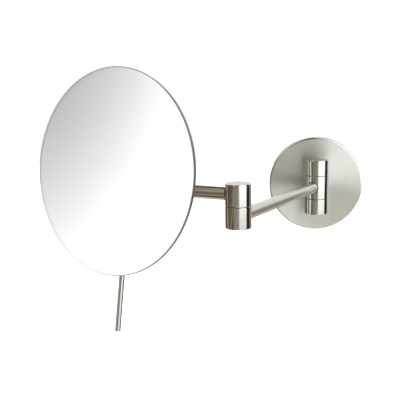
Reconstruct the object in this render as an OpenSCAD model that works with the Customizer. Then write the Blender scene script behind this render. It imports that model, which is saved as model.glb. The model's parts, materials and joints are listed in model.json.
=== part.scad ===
// Extendable shaving mirror: a round mirror on a two-part swing arm from a round wall plate.
// Origin: centre of the wall plate's back, on the wall. +Z up, the wall's normal is -Y.
// Every piece is drawn where it stands at rest.

/* [Wall plate] */
// Diameter of the round wall plate
plate_d = 112; // [90:1:140]
// Depth of the wall plate, from the wall to its front
plate_depth = 9; // [8:0.5:14]
// Sheet thickness of the wall plate
plate_wall = 1.5; // [1:0.1:2]
// Bevel around the front edge of the wall plate
plate_bevel = 1.2; // [0.5:0.1:2]
// Thickness of the hidden bracket's web
bracket_web = 2.5; // [2:0.1:3]
// Depth of the hidden bracket's raised rim
bracket_rim_depth = 6; // [5:0.1:6.2]
// Width of the hidden bracket's raised rim
bracket_rim_w = 6; // [4:0.5:10]
// Diameter of the circle of wall screws
wall_pcd = 72; // [60:1:76]
// Diameter of each hole for a wall screw
wall_hole_d = 5.2; // [4:0.1:6]
// Number of wall screws
wall_holes = 3; // [2:1:6]

/* [Post] */
// Diameter of the vertical post on the wall plate
post_d = 28; // [24:0.5:36]
// Height of each fixed end lug of the post
lug_h = 18; // [15:0.5:26]
// Height of the turning middle hub of the post
hub_h = 28; // [20:0.5:36]
// Gap between the turning hub and the wall plate
hub_wall_gap = 1; // [0.5:0.1:4]
// Width of the neck that joins each lug to the wall plate
neck_w = 16; // [14:0.5:20]
// Diameter of the post's hinge pin
post_pin_d = 9; // [7:0.5:10]

/* [Arms] */
// Diameter of both arm rods
rod_d = 12.7; // [10:0.1:14]
// Inner arm, from post axis to elbow axis
inner_len = 188; // [130:1:240]
// Compass angle of the inner arm at rest, from +X towards +Y
inner_turn = 243; // [200:0.1:330]
// Outer arm, from elbow axis to head axis
outer_len = 98; // [86:1:200]
// Compass angle of the outer arm at rest
outer_turn = 160.5; // [120:0.1:190]

/* [Knuckles] */
// Diameter of the round blocks at the elbow and behind the mirror
block_d = 24.5; // [22:0.5:32]
// Height of each round block
block_h = 21; // [18:0.5:28]
// Height of the swivel block behind the mirror
swivel_h = 16; // [14:0.5:24]
// Rounding of the blocks' outer edges
block_round = 0.8; // [0.2:0.1:1.5]
// Diameter of the hinge bolts' shanks
bolt_d = 8; // [6:0.5:8]
// Diameter of the hinge bolts' heads
bolt_head_d = 13; // [11:0.5:13]

/* [Mirror] */
// Diameter of the mirror glass
mirror_d = 190; // [150:1:240]
// Thickness of the mirror glass
glass_t = 3; // [2:0.1:5]
// Depth of the dish in the magnifying glass
glass_dish = 2; // [0.5:0.1:5]
// Diameter of the backing plate
backing_d = 180; // [120:1:188]
// Thickness of the backing plate
backing_t = 2; // [1.5:0.1:3]
// Thickness of the adhesive pad under the glass
pad_t = 0.8; // [0.4:0.1:1.5]
// From the tilt axis to the front edge plane of the glass
face_offset = 26; // [25:0.5:36]
// From the head's vertical axis to the tilt axis
tilt_reach = 20; // [20:0.5:32]
// Compass angle that the mirror faces at rest
mirror_turn = 239.2; // [200:0.1:280]
// Upward pitch of the mirror at rest
mirror_pitch = 7.2; // [-10:0.1:15]

/* [Tilt hub] */
// Diameter of the hub's round flange
flange_d = 54; // [48:1:70]
// Thickness of the hub's round flange
flange_t = 3.5; // [3:0.1:5]
// Width of the tongue between the hub's two cheeks
tongue_w = 8; // [6:0.5:10]
// Radius of the tongue's eye
eye_r = 7.5; // [6.5:0.1:8]
// Thickness of each cheek
cheek_t = 4.5; // [3:0.1:5]
// Diameter of the tilt bolt
tilt_bolt_d = 6; // [5:0.5:6]

/* [Handle] */
// Diameter of the handle rod
handle_d = 5.2; // [4:0.1:6]
// From the tilt axis to the tip of the handle rod
handle_len = 152; // [120:1:200]
// Forward lean of the handle rod from the mirror's plane
handle_lean = 2; // [0:0.1:12]

/* [Hidden] */

$fn = 96;
cut = 0.5;                  // overrun of every cut past the face that it opens
run_fit = 0.05;             // radial clearance of every turning fit
seam = 0.6;                 // height of the seam that holds each friction washer
washer_t = 0.5;             // friction washer, leaving an even gap above and below
slack = (seam - washer_t) / 2;

plate_r = plate_d / 2;
plate_lift = 0.2;           // the plate's rim stays this far off the wall
bracket_fit = 0.2;          // radial clearance of the bracket inside the plate
bracket_r = plate_r - plate_wall - bracket_fit;
post_r = post_d / 2;
post_y = plate_depth + hub_wall_gap + post_r;
hub_half = hub_h / 2;
lug_top = hub_half + lug_h;

bush_wall = 1;
rod_wall = 1.4;             // metal left between a rod's socket and a bolt's head
post_bush_r = post_pin_d / 2 + run_fit + bush_wall;
post_socket_r = post_bush_r + rod_wall;
head_fit = 0.25;            // radial clearance around each bolt head and under each cap
recess_r = bolt_head_d / 2 + head_fit;
block_socket_r = recess_r + rod_wall;
block_bush_r = bolt_d / 2 + run_fit + bush_wall;
cap_t = 1.5;
cap_gap = 0.5;
head_t = 3;
spring_t = 0.7;
recess_h = cap_t + cap_gap + head_t + slack + spring_t;
block_r = block_d / 2;
block_top = block_h - seam / 2;
thread_len = 11;            // screwed length of each hinge bolt and pin

elbow = [inner_len * cos(inner_turn), inner_len * sin(inner_turn) - post_y];
knuckle = elbow + outer_len * [cos(outer_turn), sin(outer_turn)];
outer_z = block_h;          // height of the outer arm above the inner arm
pivot_z = outer_z + block_h / 2 + seam / 2 + swivel_h / 2;

grub_d = 4;
grub_sink = 0.3;            // each block's grub screw ends this far inside the block
grub_wall = 0.75;           // metal on either side of a block's grub screw
hub_grub_len = 4;
block_grub_d = block_r - recess_r - 2 * grub_wall;
block_grub_at = (block_r + recess_r) / 2;
lug_screw_d = 4;
lug_screw_x = 4.5;
lug_screw_len = 9;
pan_head_d = 7.6;
pan_head_t = 2.4;
hub_screw_circle = 20;
hub_screw_n = 4;

cheek_in = tongue_w / 2 + slack + 0.8 + slack;
cheek_out = cheek_in + cheek_t;
cheek_r = eye_r + 0.5;
tongue_half_h = 5;
flange_back = face_offset - glass_dish - glass_t - pad_t - backing_t - flange_t;
chin_top = eye_r + 2.5;     // top of the bridge below the eye, measured down from the tilt axis
chin_bottom = chin_top + 8;
chin_back = 4;
backing_flat_r = flange_d / 2 + 1;
dish_steps = 12;

nickel = [0.80, 0.78, 0.74];
bronze = [0.72, 0.58, 0.36];
steel = [0.62, 0.63, 0.65];

// ---- shared shapes ----

// Lays a shape drawn along +Z so that it points out of the wall, along -Y
module from_wall() rotate([90, 0, 0]) children();

module at_post() translate([0, -post_y, 0]) children();

module at_elbow() translate([elbow[0], elbow[1], 0]) children();

module at_knuckle() translate([knuckle[0], knuckle[1], outer_z]) children();

// The mirror's own frame: origin on the tilt axis, +X out of the glass, Y along the tilt axis
module at_tilt()
    translate([knuckle[0], knuckle[1], pivot_z])
        rotate([0, 0, mirror_turn])
            translate([tilt_reach, 0, 0])
                rotate([0, -mirror_pitch, 0])
                    children();

// A ring around Z from height z0 to z1
module ring(r_out, r_in, z0, z1)
    translate([0, 0, z0])
        difference() {
            cylinder(r = r_out, h = z1 - z0);
            translate([0, 0, -cut]) cylinder(r = r_in, h = z1 - z0 + 2 * cut);
        }

// A solid disc around Z from height z0 to z1 with a small bevel on either end
module drum(r, z0, z1, bevel_low, bevel_high)
    rotate_extrude()
        polygon([
            [0, z0], [r - bevel_low, z0], [r, z0 + bevel_low],
            [r, z1 - bevel_high], [r - bevel_high, z1], [0, z1]
        ]);

// A socket for an arm rod: a flat-bottomed bore along the direction turn, outside radius r
module rod_socket(turn, r)
    rotate([0, 0, turn]) rotate([0, 90, 0]) translate([0, 0, r]) cylinder(d = rod_d, h = post_d);

// An arm rod along the direction turn, with its ends in the two sockets
module arm_rod(turn, length, start_r, end_r)
    rotate([0, 0, turn]) rotate([0, 90, 0])
        drum(rod_d / 2, start_r, length - end_r, block_round / 2, block_round / 2);

// The middle of the inner rod's stretch inside the hub, where its grub screw bites
hub_grub_at = (post_socket_r + sqrt(post_r * post_r - rod_d * rod_d / 4)) / 2;

// A grub screw that stands under a rod at the given place along it, its foot at depth z0
module grub_under(turn, d, along, z0)
    rotate([0, 0, turn]) translate([along, 0, z0]) cylinder(d = d, h = -z0 - rod_d / 2);

// The tapped hole for that grub screw, which breaks into the rod's socket
module grub_hole(turn, d, along, z0)
    rotate([0, 0, turn]) translate([along, 0, z0]) cylinder(d = d, h = -z0 - rod_d / 2 + 2 * cut);

// A block's recess from below for a cap, a bolt head and a spring washer, and its bush bore
module block_bore() {
    translate([0, 0, -block_h / 2 - cut]) cylinder(r = recess_r, h = recess_h + cut);
    translate([0, 0, -block_h / 2]) cylinder(r = block_bush_r, h = block_h + cut);
}

// A lower knuckle block, which carries the end of one arm rod and the bolt's bush
module lower_block(turn)
    difference() {
        drum(block_r, -block_h / 2, block_h / 2 - seam / 2, block_round, 0.2);
        block_bore();
        rod_socket(turn, block_socket_r);
        grub_hole(turn, block_grub_d, block_grub_at, -block_h / 2 - cut);
    }

module block_bush() ring(block_bush_r, bolt_d / 2 + run_fit, recess_h - block_h / 2, block_h / 2 - seam / 2);

module block_washer()
    ring(block_r - 1, bolt_d / 2 + head_fit, block_h / 2 - seam / 2 + slack, block_h / 2 + seam / 2 - slack);

module block_spring_washer()
    ring(recess_r - head_fit, bolt_d / 2 + head_fit, recess_h - block_h / 2 - spring_t, recess_h - block_h / 2);

module block_cap() drum(recess_r, -block_h / 2, cap_t - block_h / 2, 0.3, 0);

// A hinge bolt from below: head in the lower block, thread in the block above
module hinge_bolt(top_z) {
    head_z = cap_t + cap_gap - block_h / 2;
    difference() {
        union() {
            drum(bolt_head_d / 2, head_z, head_z + head_t, 0.4, 0);
            drum(bolt_d / 2, head_z + head_t, top_z, 0, 0.6);
        }
        translate([0, 0, head_z - cut]) cylinder(d = 5, h = 2 + cut, $fn = 6);
    }
}

// A pan-head screw along +Z: head below z = 0, shank above it
module pan_screw(shank_d, length) {
    drum(pan_head_d / 2, -pan_head_t, 0, 1, 0);
    drum(shank_d / 2, 0, length, 0, 0.4);
}

// ---- wall body ----

module bracket_holes()
    for (i = [0:wall_holes - 1])
        rotate([0, 0, 90 + i * 360 / wall_holes])
            translate([wall_pcd / 2, 0, -cut])
                cylinder(d = wall_hole_d, h = bracket_rim_depth + 2 * cut);

module mounting_bracket()
    color(steel)
        from_wall()
            difference() {
                cylinder(r = bracket_r, h = bracket_rim_depth);
                translate([0, 0, bracket_web])
                    cylinder(r = bracket_r - bracket_rim_w, h = bracket_rim_depth);
                bracket_holes();
                translate([0, 0, -cut]) cylinder(d = 16, h = bracket_web + 2 * cut);
            }

module lug_screw_places()
    for (side = [-1, 1], end = [-1, 1])
        translate([side * lug_screw_x, -(plate_depth - plate_wall), end * (hub_half + lug_h / 2)])
            rotate([90, 0, 0])
                children();

module plate_grub_place()
    translate([0, -bracket_rim_depth / 2, -plate_r])
        children();

module wall_plate()
    color(nickel)
        difference() {
            from_wall()
                rotate_extrude()
                    polygon([
                        [0, plate_depth], [plate_r - plate_bevel, plate_depth],
                        [plate_r, plate_depth - plate_bevel], [plate_r, plate_lift],
                        [plate_r - plate_wall, plate_lift],
                        [plate_r - plate_wall, plate_depth - plate_wall],
                        [0, plate_depth - plate_wall]
                    ]);
            lug_screw_places() translate([0, 0, -cut]) cylinder(d = lug_screw_d, h = plate_wall + 2 * cut);
            plate_grub_place() translate([0, 0, -cut]) cylinder(d = grub_d, h = plate_wall + 2 * cut);
        }

module plate_grub_screw()
    color(steel)
        plate_grub_place()
            translate([0, 0, 0.2])
                drum(grub_d / 2, 0, plate_wall + bracket_fit - 0.3, 0, 0.3);

// One fixed lug: a round end piece with a neck back to the wall plate
module lug(z0, z1, low, high) {
    at_post() drum(post_r, z0, z1, low, high);
    translate([-neck_w / 2, -post_y + post_pin_d / 2, z0 + 1])
        cube([neck_w, post_y - post_pin_d / 2 - plate_depth, z1 - z0 - 2]);
}

module lug_tappings() lug_screw_places() cylinder(d = lug_screw_d, h = plate_wall + lug_screw_len);

module post_upper_lug()
    color(nickel)
        difference() {
            lug(hub_half, lug_top, 0.2, block_round);
            at_post() cylinder(d = post_pin_d, h = hub_half + thread_len);
            lug_tappings();
        }

module post_lower_lug()
    color(nickel)
        difference() {
            lug(-lug_top, -hub_half, block_round, 0.2);
            at_post() translate([0, 0, -lug_top]) cylinder(d = post_pin_d, h = lug_h + cut);
            at_post() translate([0, 0, -lug_top - cut]) cylinder(r = recess_r, h = cap_t + head_t + cut);
            lug_tappings();
        }

module lug_screws() color(steel) lug_screw_places() pan_screw(lug_screw_d, plate_wall + lug_screw_len);

module post_pin()
    color(steel)
        at_post()
            difference() {
                union() {
                    drum(bolt_head_d / 2, cap_t - lug_top, cap_t + head_t - lug_top, 0.4, 0);
                    drum(post_pin_d / 2, cap_t + head_t - lug_top, hub_half + thread_len, 0, 0.6);
                }
                translate([0, 0, cap_t - lug_top - cut]) cylinder(d = 5, h = 2 + cut, $fn = 6);
            }

module post_cap() color(nickel) at_post() drum(recess_r, -lug_top, cap_t - lug_top, 0.3, 0);

module post_washers()
    color(bronze)
        at_post()
            for (side = [0, 1])
                mirror([0, 0, side])
                    ring(post_r - 1, post_pin_d / 2 + run_fit, hub_half - washer_t, hub_half);

// ---- inner arm body ----

module post_hub()
    color(nickel)
        at_post()
            difference() {
                drum(post_r, -hub_half + seam, hub_half - seam, 0.2, 0.2);
                translate([0, 0, -hub_half]) cylinder(r = post_bush_r, h = hub_h);
                rod_socket(inner_turn, post_socket_r);
                grub_hole(inner_turn, grub_d, hub_grub_at, -hub_half);
            }

module post_bush()
    color(bronze)
        at_post()
            ring(post_bush_r, post_pin_d / 2 + run_fit, -hub_half + seam, hub_half - seam);

module inner_rod()
    color(nickel)
        at_post()
            arm_rod(inner_turn, inner_len, post_socket_r, block_socket_r);

module inner_grub_screws()
    color(steel) {
        at_post() grub_under(inner_turn, grub_d, hub_grub_at, -rod_d / 2 - hub_grub_len);
        at_elbow() grub_under(inner_turn + 180, block_grub_d, block_grub_at, grub_sink - block_h / 2);
    }

module elbow_lower_block() color(nickel) at_elbow() lower_block(inner_turn + 180);

module elbow_bush() color(bronze) at_elbow() block_bush();

module elbow_washer() color(bronze) at_elbow() block_washer();

module elbow_spring_washer() color(steel) at_elbow() block_spring_washer();

module elbow_cap() color(nickel) at_elbow() block_cap();

// ---- outer arm body ----

module elbow_upper_block()
    color(nickel)
        translate([elbow[0], elbow[1], outer_z])
            difference() {
                drum(block_r, -block_h / 2 + seam / 2, block_h / 2, 0.2, block_round);
                translate([0, 0, -block_h / 2]) cylinder(d = bolt_d, h = thread_len);
                rod_socket(outer_turn, block_socket_r);
                grub_hole(outer_turn, block_grub_d, block_grub_at, -block_h / 2 - cut);
            }

module elbow_bolt() color(steel) at_elbow() hinge_bolt(outer_z - block_h / 2 + thread_len);

module outer_rod()
    color(nickel)
        translate([elbow[0], elbow[1], outer_z])
            arm_rod(outer_turn, outer_len, block_socket_r, block_socket_r);

module outer_grub_screws()
    color(steel) {
        translate([elbow[0], elbow[1], outer_z])
            grub_under(outer_turn, block_grub_d, block_grub_at, seam / 2 + grub_sink - block_h / 2);
        at_knuckle() grub_under(outer_turn + 180, block_grub_d, block_grub_at, grub_sink - block_h / 2);
    }

module knuckle_block() color(nickel) at_knuckle() lower_block(outer_turn + 180);

module knuckle_bush() color(bronze) at_knuckle() block_bush();

module knuckle_washer() color(bronze) at_knuckle() block_washer();

module knuckle_spring_washer() color(steel) at_knuckle() block_spring_washer();

module knuckle_cap() color(nickel) at_knuckle() block_cap();

// ---- head body ----

module swivel_block()
    color(nickel)
        translate([knuckle[0], knuckle[1], pivot_z])
            rotate([0, 0, mirror_turn])
                difference() {
                    union() {
                        drum(block_r, -swivel_h / 2, swivel_h / 2, 0.2, block_round);
                        translate([0, -tongue_w / 2, -tongue_half_h])
                            cube([tilt_reach, tongue_w, 2 * tongue_half_h]);
                        translate([tilt_reach, tongue_w / 2, 0])
                            rotate([90, 0, 0]) cylinder(r = eye_r, h = tongue_w);
                    }
                    translate([tilt_reach, tongue_w, 0])
                        rotate([90, 0, 0]) cylinder(r = tilt_bolt_d / 2 + run_fit, h = 2 * tongue_w);
                    translate([0, 0, -swivel_h]) cylinder(d = bolt_d, h = swivel_h / 2 + thread_len);
                }

module knuckle_bolt()
    color(steel)
        at_knuckle()
            hinge_bolt(pivot_z - outer_z - swivel_h / 2 + thread_len);

// ---- mirror body ----

module cheek_outline()
    union() {
        circle(r = cheek_r);
        translate([0, -chin_bottom]) square([flange_back + flange_t / 2, chin_bottom + cheek_r]);
        translate([-chin_back, -chin_bottom]) square([chin_back + 1, chin_bottom - chin_top + 3]);
    }

// A slab of the hub between two places along the tilt axis
module hub_slab(y0, y1) translate([0, y1, 0]) rotate([90, 0, 0]) linear_extrude(y1 - y0) children();

module hub_screw_places()
    for (i = [0:hub_screw_n - 1])
        rotate([45 + i * 360 / hub_screw_n, 0, 0])
            translate([flange_back, hub_screw_circle, 0])
                rotate([0, 90, 0])
                    children();

module handle_line() rotate([0, 180 - handle_lean, 0]) children();

module handle_grub_place()
    handle_line()
        translate([0, 0, chin_top + 4.5])
            rotate([0, 90, 0])
                children();

module tilt_hub()
    color(nickel)
        at_tilt()
            difference() {
                union() {
                    translate([flange_back, 0, 0])
                        rotate([0, 90, 0]) drum(flange_d / 2, 0, flange_t, 0.8, 0);
                    hub_slab(-cheek_out, -cheek_in) cheek_outline();
                    hub_slab(cheek_in, cheek_out) cheek_outline();
                    translate([-chin_back, -cheek_out, -chin_bottom])
                        cube([chin_back + flange_back + 1, 2 * cheek_out, chin_bottom - chin_top]);
                }
                translate([0, cheek_out + cut, 0])
                    rotate([90, 0, 0]) cylinder(d = tilt_bolt_d, h = 2 * (cheek_out + cut));
                hub_screw_places() translate([0, 0, -cut]) cylinder(d = lug_screw_d, h = flange_t + 2 * cut);
                handle_line() translate([0, 0, chin_top + 1.5]) cylinder(d = handle_d, h = chin_bottom);
                handle_grub_place() cylinder(d = 3, h = chin_bottom);
            }

module tilt_bolt()
    color(steel)
        at_tilt()
            rotate([90, 0, 0]) {
                difference() {
                    drum(5, cheek_out, cheek_out + 4, 0, 0.6);
                    translate([0, 0, cheek_out + 2]) cylinder(d = 4.6, h = 3, $fn = 6);
                }
                drum(tilt_bolt_d / 2, -cheek_out - 5.6, cheek_out, 0.5, 0);
            }

module tilt_washers()
    color(bronze)
        at_tilt()
            for (side = [0, 1])
                mirror([0, side, 0])
                    rotate([90, 0, 0])
                        ring(eye_r - 0.3, tilt_bolt_d / 2, cheek_in - slack - 0.8, cheek_in);

module tilt_nut()
    color(nickel)
        at_tilt()
            rotate([-90, 0, 0])
                difference() {
                    translate([0, 0, cheek_out]) cylinder(r = 5.77, h = 5, $fn = 6);
                    translate([0, 0, cheek_out - cut]) cylinder(d = tilt_bolt_d, h = 6 + cut);
                }

module hub_screws()
    color(steel)
        at_tilt()
            hub_screw_places()
                pan_screw(lug_screw_d, flange_t + backing_t);

// Height of the dished glass above its centre, at radius r
function dish(r) = glass_dish * r * r / (mirror_d * mirror_d / 4);

// The arc of the dish from radius r0 to r1, raised by z
function dish_arc(r0, r1, z) =
    [for (i = [0:dish_steps]) let (r = r0 + (r1 - r0) * i / dish_steps) [r, z + dish(r)]];

module backing_plate()
    color(steel)
        at_tilt()
            translate([flange_back + flange_t, 0, 0])
                rotate([0, 90, 0])
                    difference() {
                        rotate_extrude()
                            polygon(concat(
                                [[0, 0], [backing_flat_r, 0]],
                                [[backing_d / 2, dish(backing_d / 2)]],
                                dish_arc(backing_d / 2, 0, backing_t)
                            ));
                        for (i = [0:hub_screw_n - 1])
                            rotate([0, 0, 45 + i * 360 / hub_screw_n])
                                translate([hub_screw_circle, 0, -cut])
                                    cylinder(d = lug_screw_d, h = backing_t + 2 * cut);
                    }

module adhesive_pad()
    color([0.2, 0.2, 0.2])
        at_tilt()
            translate([flange_back + flange_t + backing_t, 0, 0])
                rotate([0, 90, 0])
                    rotate_extrude()
                        polygon(concat(
                            dish_arc(0, backing_d / 2 - 4, 0),
                            dish_arc(backing_d / 2 - 4, 0, pad_t)
                        ));

module mirror_glass()
    color([0.86, 0.90, 0.92])
        at_tilt()
            translate([face_offset - glass_dish - glass_t, 0, 0])
                rotate([0, 90, 0])
                    rotate_extrude()
                        polygon(concat(
                            dish_arc(0, mirror_d / 2 - 0.4, 0),
                            [[mirror_d / 2, dish(mirror_d / 2) + 0.4]],
                            [[mirror_d / 2, dish(mirror_d / 2) + glass_t - 0.6]],
                            dish_arc(mirror_d / 2 - 0.6, 0, glass_t)
                        ));

module handle_rod()
    color(nickel)
        at_tilt()
            handle_line()
                drum(handle_d / 2, chin_top + 1.5, handle_len, 0.2, 0.3);

module handle_grub_screw()
    color(steel)
        at_tilt()
            handle_grub_place()
                translate([0, 0, handle_d / 2])
                    cylinder(d = 3, h = 2);

mounting_bracket();
wall_plate();
plate_grub_screw();
post_upper_lug();
post_lower_lug();
lug_screws();
post_pin();
post_cap();
post_washers();
post_hub();
post_bush();
inner_rod();
inner_grub_screws();
elbow_lower_block();
elbow_bush();
elbow_washer();
elbow_spring_washer();
elbow_cap();
elbow_upper_block();
elbow_bolt();
outer_rod();
outer_grub_screws();
knuckle_block();
knuckle_bush();
knuckle_washer();
knuckle_spring_washer();
knuckle_cap();
swivel_block();
knuckle_bolt();
tilt_hub();
tilt_bolt();
tilt_washers();
tilt_nut();
hub_screws();
backing_plate();
adhesive_pad();
mirror_glass();
handle_rod();
handle_grub_screw();
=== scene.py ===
"""Extendable shaving mirror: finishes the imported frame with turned, brushed and glazed pieces."""

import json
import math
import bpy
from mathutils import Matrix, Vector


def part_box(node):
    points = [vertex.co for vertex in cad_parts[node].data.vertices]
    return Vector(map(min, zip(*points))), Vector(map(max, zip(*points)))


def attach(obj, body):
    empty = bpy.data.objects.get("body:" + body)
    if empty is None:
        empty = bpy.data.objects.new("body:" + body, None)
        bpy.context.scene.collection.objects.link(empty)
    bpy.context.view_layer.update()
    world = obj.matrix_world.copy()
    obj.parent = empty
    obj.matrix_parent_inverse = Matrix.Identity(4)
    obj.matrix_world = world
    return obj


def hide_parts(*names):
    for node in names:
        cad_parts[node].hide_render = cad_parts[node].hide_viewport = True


bl_info = {
    "name": "Extendable Shaving Mirror",
    "version": (1, 0, 0),
    "blender": (4, 5, 0),
    "location": "3D View > Sidebar > Shaving Mirror",
    "description": "Builds a wall mirror on a two-part swing arm",
    "category": "Add Mesh",
}

import bmesh
import bpy
from mathutils import Matrix, Vector

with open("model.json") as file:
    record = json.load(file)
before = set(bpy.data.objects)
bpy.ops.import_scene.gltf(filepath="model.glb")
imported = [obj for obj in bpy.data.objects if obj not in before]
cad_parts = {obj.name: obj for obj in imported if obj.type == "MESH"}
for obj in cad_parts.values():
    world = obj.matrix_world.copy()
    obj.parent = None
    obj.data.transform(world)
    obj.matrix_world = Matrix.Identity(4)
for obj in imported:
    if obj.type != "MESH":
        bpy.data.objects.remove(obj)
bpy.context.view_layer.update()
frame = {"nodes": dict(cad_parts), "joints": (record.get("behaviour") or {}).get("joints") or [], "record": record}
JOINTS = {joint["name"]: joint for joint in frame["joints"]}

MM = 0.001
TURN = 2 * math.pi
ROUND_STEPS = 5             # facets in each rounded edge
LATHE_SEGMENTS = 144        # facets round a turned piece
SHARP_ANGLE = math.radians(32)

GLASS_RADIUS = 95 * MM
GLASS_THICK = 3 * MM
GLASS_FRONT = 26 * MM       # from the tilt axis to the rim of the glass
DISH_DEPTH = 2 * MM
SILVER_INSET = 0.75 * MM    # how far in from its rim the glass is silvered
BACKING_RADIUS = 90 * MM
BACKING_THICK = 2 * MM
BACKING_FLAT = 28 * MM      # radius of the flat that the flange sits on
PAD_THICK = 0.8 * MM
DISH_STEPS = 24
PLATE_WALL = 1.5 * MM
NECK_WIDE, NECK_INSET = 16 * MM, 1 * MM
ROD_INSET = 4.0 * MM        # how far a rod's visible end runs into its block
SOCKET_WALL = 3.0 * MM      # between a bush and the end of a rod's socket
HANDLE_RADIUS, HANDLE_TOP, HANDLE_LENGTH = 2.6 * MM, 11.5 * MM, 152 * MM
HANDLE_LEAN = math.radians(2)
HUB_SCREW_CIRCLE = 20 * MM
HUB_SCREW_SEAT = 14.7 * MM  # from the tilt axis to the seats of the flange screws
WASHER_BORE, WASHER_THICK = 4.55 * MM, 0.5 * MM

FLOOR_DROP, FLOOR_HALF = 1.2, 9.0
EYE = (-0.05903, -0.77277, 0.12862)
YAW, PITCH = math.radians(-0.62), math.radians(9.72)
SENSOR, LENS = 36.0, 57.72
SHIFT_X, SHIFT_Y = -0.15, -0.0355


# ---- places, taken from the frame ----

def joint_place(name):
    """Where a joint's axis stands, in metres."""
    return Vector(JOINTS[name]["pos_m"])


def box_size(node):
    """Side lengths of a node's box."""
    low, high = (Vector(corner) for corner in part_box(node))
    return high - low


def box_centre(node):
    low, high = (Vector(corner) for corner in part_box(node))
    return (high + low) / 2


POST = joint_place("inner_arm_swing")
ELBOW = joint_place("elbow_swing")
KNUCKLE = joint_place("head_swivel")
TILT = joint_place("mirror_tilt")
TILT_AXIS = Vector(JOINTS["mirror_tilt"]["axis"])
FACE_TURN = math.atan2(TILT_AXIS.x, -TILT_AXIS.y)


# ---- sizes and colours a user would change ----

class MirrorSizes(bpy.types.PropertyGroup):
    rest_pitch: bpy.props.FloatProperty(
        name="Rest pitch", description="Upward pitch of the mirror at rest",
        default=math.radians(7.2), subtype="ANGLE")
    glass_edge: bpy.props.FloatProperty(
        name="Glass edge round", description="Rounding of the polished edge of the glass",
        default=0.7 * MM, unit="LENGTH")
    edge_round: bpy.props.FloatProperty(
        name="Block edge round", description="Rounding of the outer edges of the turned blocks",
        default=0.8 * MM, unit="LENGTH")
    seam_round: bpy.props.FloatProperty(
        name="Seam edge round", description="Rounding of the edges next to each seam",
        default=0.35 * MM, unit="LENGTH")
    plate_round: bpy.props.FloatProperty(
        name="Plate edge round", description="Rounding of the wall plate's front edge",
        default=1.8 * MM, unit="LENGTH")
    rod_fillet: bpy.props.FloatProperty(
        name="Braze ring", description="Width of the braze ring where a rod meets its block",
        default=0.8 * MM, unit="LENGTH")


class MirrorColours(bpy.types.PropertyGroup):
    nickel: bpy.props.FloatVectorProperty(
        name="Nickel", description="Colour of the nickel plating", subtype="COLOR",
        default=(0.675, 0.652, 0.603), min=0.0, max=1.0)
    nickel_dark: bpy.props.FloatVectorProperty(
        name="Nickel in the grain", description="Colour at the bottom of the grain", subtype="COLOR",
        default=(0.545, 0.523, 0.477), min=0.0, max=1.0)
    steel: bpy.props.FloatVectorProperty(
        name="Steel", description="Colour of the zinc-plated steel", subtype="COLOR",
        default=(0.52, 0.53, 0.54), min=0.0, max=1.0)
    bronze: bpy.props.FloatVectorProperty(
        name="Bronze", description="Colour of the bushes and washers", subtype="COLOR",
        default=(0.24, 0.18, 0.12), min=0.0, max=1.0)
    silver: bpy.props.FloatVectorProperty(
        name="Silvering", description="Colour of the silvered glass", subtype="COLOR",
        default=(0.93, 0.935, 0.94), min=0.0, max=1.0)
    glass_rim: bpy.props.FloatVectorProperty(
        name="Glass rim", description="Colour of the polished edge of the glass", subtype="COLOR",
        default=(0.105, 0.095, 0.08), min=0.0, max=1.0)


# ---- shader node helpers ----

def socket(group, name, kind, way, default=None):
    made = group.interface.new_socket(name=name, in_out=way, socket_type="NodeSocket" + kind)
    if default is not None:
        made.default_value = default
    return made


def new_group(name, inputs, outputs):
    """A shader node group with named inputs and outputs, and its two end nodes."""
    group = bpy.data.node_groups.new(name, "ShaderNodeTree")
    for label, kind, default in inputs:
        socket(group, label, kind, "INPUT", default)
    for label, kind in outputs:
        socket(group, label, kind, "OUTPUT")
    start = group.nodes.new("NodeGroupInput")
    end = group.nodes.new("NodeGroupOutput")
    return group, start, end


def math_node(tree, operation, *values, clamp=False):
    """A Math node with each input linked or set; returns its output."""
    node = tree.nodes.new("ShaderNodeMath")
    node.operation = operation
    node.use_clamp = clamp
    for index, value in enumerate(values):
        if value is None:
            continue
        if isinstance(value, (int, float)):
            node.inputs[index].default_value = value
        else:
            tree.links.new(value, node.inputs[index])
    return node.outputs[0]


def noise(tree, vector, scale, detail=2.0, roughness=0.5):
    node = tree.nodes.new("ShaderNodeTexNoise")
    node.inputs["Scale"].default_value = scale
    node.inputs["Detail"].default_value = detail
    node.inputs["Roughness"].default_value = roughness
    tree.links.new(vector, node.inputs["Vector"])
    return node.outputs["Fac"]


def grain_group():
    """Lathe grain on a turned piece: fine rings along the profile, wandering slowly round the axis."""
    group, start, end = new_group(
        "Turned grain",
        [("Rings", "Float", 900.0), ("Wander", "Float", 1.2), ("Contrast", "Float", 0.5)],
        [("Grain", "Float"), ("Height", "Float")])
    uv = group.nodes.new("ShaderNodeUVMap")
    uv.uv_map = "turn"
    split = group.nodes.new("ShaderNodeSeparateXYZ")
    group.links.new(uv.outputs["UV"], split.inputs[0])
    angle = math_node(group, "MULTIPLY", split.outputs["X"], TURN)
    side = math_node(group, "MULTIPLY", math_node(group, "COSINE", angle), start.outputs["Wander"])
    front = math_node(group, "MULTIPLY", math_node(group, "SINE", angle), start.outputs["Wander"])
    along = math_node(group, "MULTIPLY", split.outputs["Y"], start.outputs["Rings"])
    join = group.nodes.new("ShaderNodeCombineXYZ")
    for value, name in ((side, "X"), (front, "Y"), (along, "Z")):
        group.links.new(value, join.inputs[name])
    fine = noise(group, join.outputs[0], 1.0, 3.0, 0.65)
    broad = noise(group, join.outputs[0], 0.13, 2.0, 0.5)
    mixed = math_node(group, "ADD", math_node(group, "MULTIPLY", fine, 0.7),
                      math_node(group, "MULTIPLY", broad, 0.3))
    centred = math_node(group, "SUBTRACT", mixed, 0.5)
    scaled = math_node(group, "MULTIPLY", centred, start.outputs["Contrast"])
    group.links.new(math_node(group, "ADD", scaled, 0.5, clamp=True), end.inputs["Grain"])
    group.links.new(mixed, end.inputs["Height"])
    return group


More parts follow.
